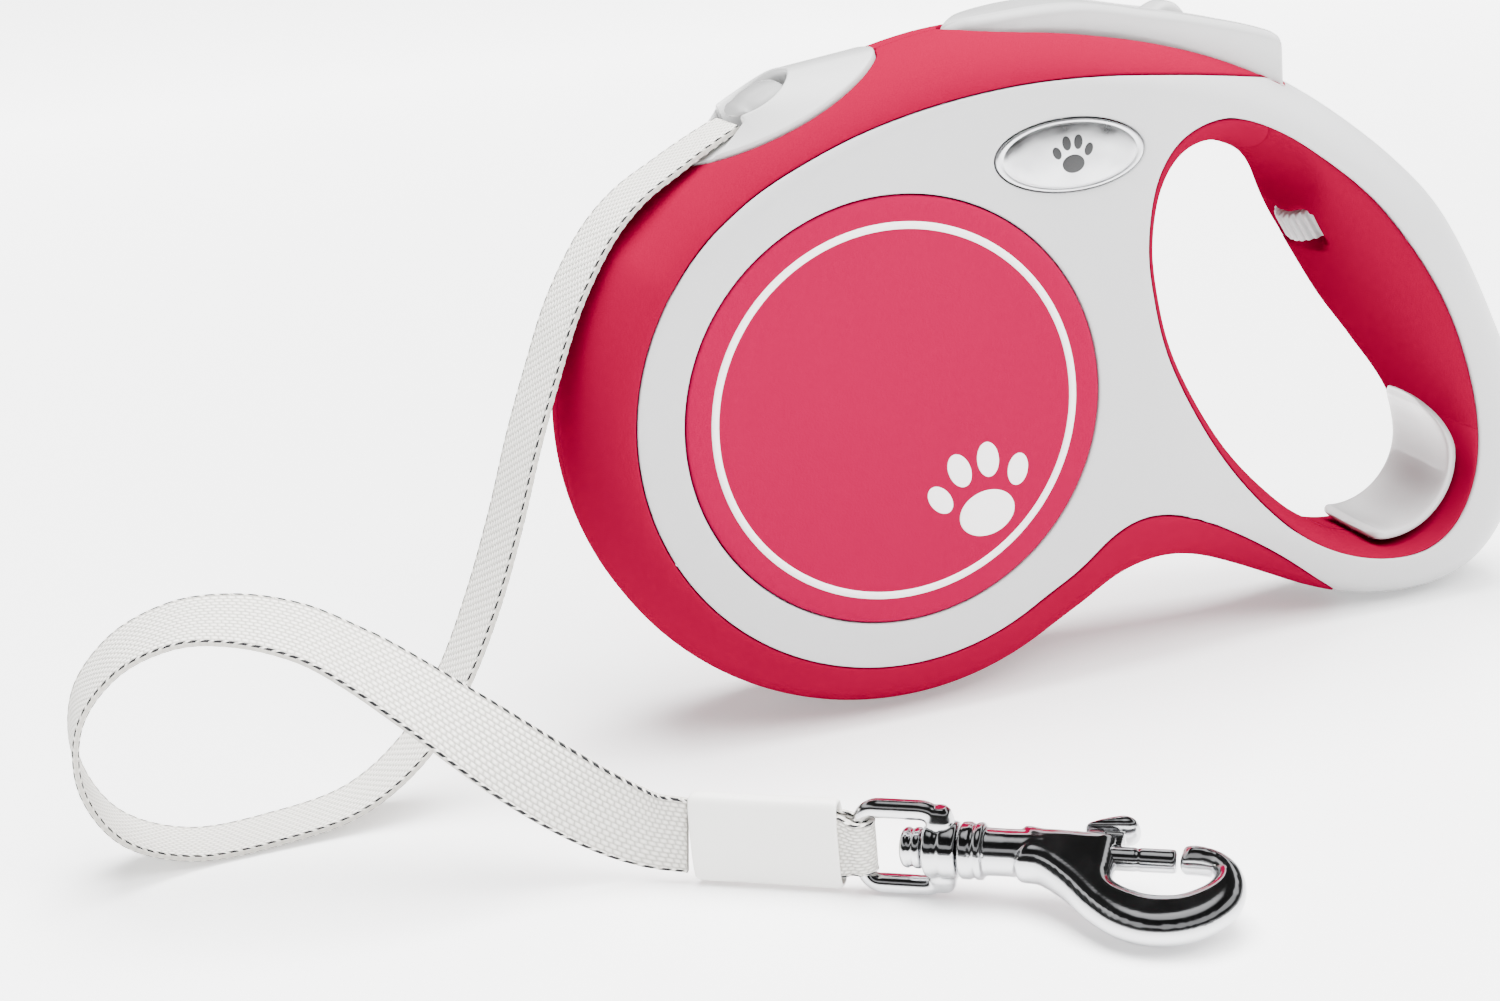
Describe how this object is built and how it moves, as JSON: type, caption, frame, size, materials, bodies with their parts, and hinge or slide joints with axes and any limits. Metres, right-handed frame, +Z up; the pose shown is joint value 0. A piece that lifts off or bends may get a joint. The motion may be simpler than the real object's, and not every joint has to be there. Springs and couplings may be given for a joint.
{
  "type": "retractable dog leash",
  "caption": "Retractable tape dog leash: round two-shell casing with a loop handle, thumb brake, size-adjusting grip and flat webbing tape ending in a swivel bolt snap.",
  "frame": {"origin": "middle of the casing's footprint on the floor it stands on, measured without the free tape and what hangs on it", "axes": "+X from the tape outlet to the handle, +Y to the far side of the casing, +Z up"},
  "size_m": [0.3206, 0.1621, 0.141],
  "materials": {
    "red_plastic": "fine grain",
    "red_grip": "soft-touch",
    "grey_plastic": "satin",
    "gloss_grey": "gloss",
    "silver_badge": "gloss",
    "chrome": "polished",
    "steel": "plain",
    "black_plastic": "moulded",
    "webbing": "woven",
    "ivory_sleeve": "satin"
  },
  "bodies": {
    "casing": {"near_shell": "red_plastic", "far_shell": "red_plastic", "near_side_frame": "grey_plastic", "far_side_frame": "grey_plastic", "near_cap": "red_plastic", "far_cap": "red_plastic", "near_badge": "silver_badge", "far_badge": "silver_badge", "casing_screw_1": "steel", "casing_screw_2": "steel", "casing_screw_3": "steel", "casing_screw_4": "steel", "casing_screw_5": "steel", "tape_nozzle": "gloss_grey", "tape_guide": "gloss_grey", "button_pin": "steel", "brake_spring": "steel", "grip_bar": "red_grip", "mainspring": "steel", "reel_axle": "steel", "tape_lead": "webbing", "free_tape": "webbing", "tape_sleeve": "ivory_sleeve", "tape_end_loop": "webbing", "swivel_eye": "chrome"},
    "reel_drum": {"reel": "black_plastic", "spring_cover": "black_plastic", "wound_tape": "webbing"},
    "brake": {"brake_button": "grey_plastic"},
    "brake_lock": {"lock_slide": "grey_plastic"},
    "thumbwheel": {"adjust_wheel": "grey_plastic", "adjust_spindle": "steel"},
    "guard": {"grip_guard": "gloss_grey"},
    "hook": {"hook_body": "chrome", "plunger_spring": "steel"},
    "plunger": {"hook_plunger": "chrome"}
  },
  "joints": [
    {"name": "reel_spin", "type": "hinge", "parent": "casing", "child": "reel_drum", "pos_m": [-0.0433, 0, 0.066], "axis": [0, 1, 0], "range_deg": [-450, 7200]},
    {"name": "brake_press", "type": "hinge", "parent": "casing", "child": "brake", "pos_m": [0.0427, 0, 0.1186], "axis": [0, -1, 0], "range_deg": [0, 3], "stiffness_Nm_per_rad": 8, "springref_deg": -2.86, "deforming": ["brake_spring"]},
    {"name": "lock_slide", "type": "slide", "parent": "brake", "child": "brake_lock", "axis": [-0.9766, 0, 0.2152], "range_m": [0, 0.005]},
    {"name": "wheel_turn", "type": "hinge", "parent": "casing", "child": "thumbwheel", "pos_m": [0.0641, 0, 0.0902], "axis": [0.4789, 0, -0.8779], "range_deg": [0, 840]},
    {"name": "guard_slide", "type": "slide", "parent": "casing", "child": "guard", "axis": [-0.4789, 0, 0.8779], "range_m": [0, 0.007]},
    {"name": "hook_swivel", "type": "hinge", "parent": "casing", "child": "hook", "pos_m": [-0.0656, -0.101, 0.0092], "axis": [0.8191, -0.5736, 0], "continuous": true},
    {"name": "plunger_slide", "type": "slide", "parent": "hook", "child": "plunger", "axis": [-0.8191, 0.5736, 0], "range_m": [0, 0.009], "stiffness_N_per_m": 250, "springref_m": -0.008, "deforming": ["plunger_spring"]}
  ],
  "couplings": [
    {"joint": "wheel_turn", "follows": "guard_slide", "rad_per_m": 2094.3}
  ]
}
